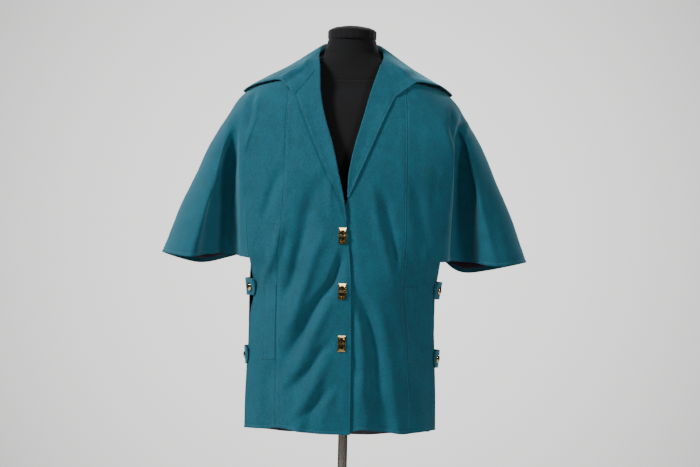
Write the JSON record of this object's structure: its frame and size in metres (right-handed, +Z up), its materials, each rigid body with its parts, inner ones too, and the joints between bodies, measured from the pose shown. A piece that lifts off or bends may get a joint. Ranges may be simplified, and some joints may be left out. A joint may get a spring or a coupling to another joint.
{
  "type": "cape-sleeve suede jacket on a dress form",
  "caption": "Hip-length suede jacket with flaring cape sleeves, a wide pointed collar and turn-lock clasps, worn on a limbless dress form with a pole and round base.",
  "frame": {"origin": "centre of the round base's underside, on the floor", "axes": "+Z up along the pole; -Y is the jacket's front; -X is the wearer's right side"},
  "size_m": [0.7835, 0.33, 1.5648],
  "materials": {
    "suede": "matte teal suede with a short nap",
    "lining": "dark plum satin",
    "gold_metal": "polished gold-coloured metal",
    "form_jersey": "matte black jersey",
    "stand_steel": "satin nickel-plated steel"
  },
  "bodies": {
    "jacket_on_form": {"back": "suede", "back_lining": "lining", "clasp_1_base": "gold_metal", "clasp_1_plate": "gold_metal", "clasp_2_base": "gold_metal", "clasp_2_plate": "gold_metal", "clasp_3_base": "gold_metal", "clasp_3_plate": "gold_metal", "collar": "suede", "form_neck_cap": "form_jersey", "form_torso": "form_jersey", "front_left": "suede", "front_right": "suede", "lapel_left": "suede", "lapel_right": "suede", "pocket_welt_left": "suede", "pocket_welt_right": "suede", "side_front_left": "suede", "side_front_right": "suede", "sleeve_left": "suede", "sleeve_lining_left": "lining", "sleeve_lining_right": "lining", "sleeve_right": "suede", "stand_base": "stand_steel", "stand_pole": "stand_steel", "tab_left_lower": "suede", "tab_left_upper": "suede", "tab_right_lower": "suede", "tab_right_upper": "suede", "tab_stud_left_lower": "gold_metal", "tab_stud_left_upper": "gold_metal", "tab_stud_right_lower": "gold_metal", "tab_stud_right_upper": "gold_metal"},
    "turn_lever_1": {"clasp_1_lever": "gold_metal"},
    "turn_lever_2": {"clasp_2_lever": "gold_metal"},
    "turn_lever_3": {"clasp_3_lever": "gold_metal"}
  },
  "joints": [
    {"name": "clasp_1_turn", "type": "hinge", "parent": "jacket_on_form", "child": "turn_lever_1", "pos_m": [-0.01, -0.14005, 1.115], "axis": [-0.0026, -0.9999, 0.0117], "range_deg": [0, 90]},
    {"name": "clasp_2_turn", "type": "hinge", "parent": "jacket_on_form", "child": "turn_lever_2", "pos_m": [-0.0082, -0.14281, 0.9995], "axis": [-0.0231, -0.999, 0.0379], "range_deg": [0, 90]},
    {"name": "clasp_3_turn", "type": "hinge", "parent": "jacket_on_form", "child": "turn_lever_3", "pos_m": [-0.007, -0.14505, 0.8912], "axis": [-0.0012, -0.9995, 0.0317], "range_deg": [0, 90]}
  ]
}
